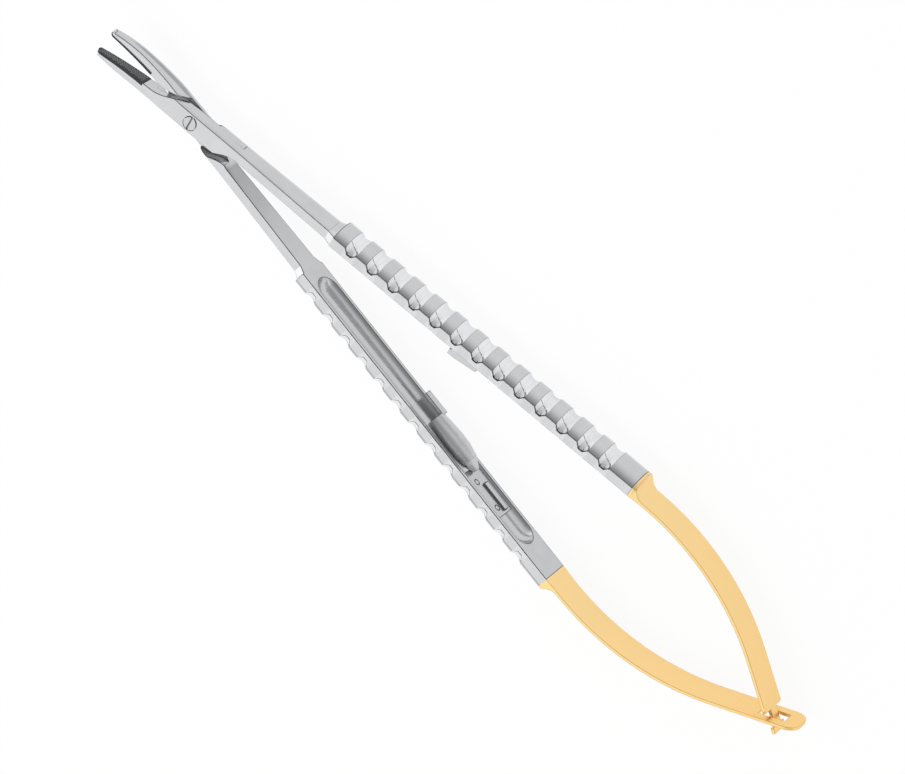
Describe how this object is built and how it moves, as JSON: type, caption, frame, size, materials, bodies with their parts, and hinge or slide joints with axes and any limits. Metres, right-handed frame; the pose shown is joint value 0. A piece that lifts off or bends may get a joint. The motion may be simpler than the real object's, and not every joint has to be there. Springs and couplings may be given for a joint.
{
  "type": "micro surgical needle holder",
  "caption": "Spring-handled micro needle holder with curved jaws, carbide gripping inserts, ribbed half-round handles, a spring lock and linked gold leaf springs.",
  "frame": {"origin": "on the pivot screw's axis, at the middle of the instrument's thickness, where the screw's axis crosses the plane midway between the handles", "axes": "+X from the pivot towards the leaf springs at the tail, +Y towards the handle of the arm that carries the screw head, +Z along the pivot axis out of the screw head, the side the jaws curve towards"},
  "size_m": [0.1796, 0.033, 0.0074],
  "materials": {
    "satin_steel": "satin, lightly brushed along the bar",
    "polished_steel": "bright, finely ground",
    "tungsten_carbide": "dark sintered carbide with fine diamond cross-hatching",
    "gold_plated_spring_steel": "satin gold plating over spring steel"
  },
  "bodies": {
    "thread_side": {"thread_side_arm": "satin_steel", "thread_side_insert": "tungsten_carbide", "pivot_screw": "polished_steel", "slotted_leaf_spring": "gold_plated_spring_steel", "lock_spring": "polished_steel", "spring_rivets": "polished_steel"},
    "screw_side": {"screw_side_arm": "satin_steel", "screw_side_insert": "tungsten_carbide", "tabbed_leaf_spring": "gold_plated_spring_steel", "lock_hook": "polished_steel", "hook_rivets": "polished_steel"},
    "catch": {"lock_catch": "polished_steel"}
  },
  "joints": [
    {"name": "jaw_pivot", "type": "hinge", "parent": "thread_side", "child": "screw_side", "pos_m": [0, 0, 0], "axis": [0, 0, 1], "range_deg": [-11.2, 0], "stiffness_Nm_per_rad": 1.8, "deforming": ["tabbed_leaf_spring", "slotted_leaf_spring"]},
    {"name": "catch_press", "type": "hinge", "parent": "thread_side", "child": "catch", "pos_m": [0.08253, -0.01056, 0], "axis": [0, 0, 1], "range_deg": [0, 2.5], "stiffness_Nm_per_rad": 0.05}
  ]
}
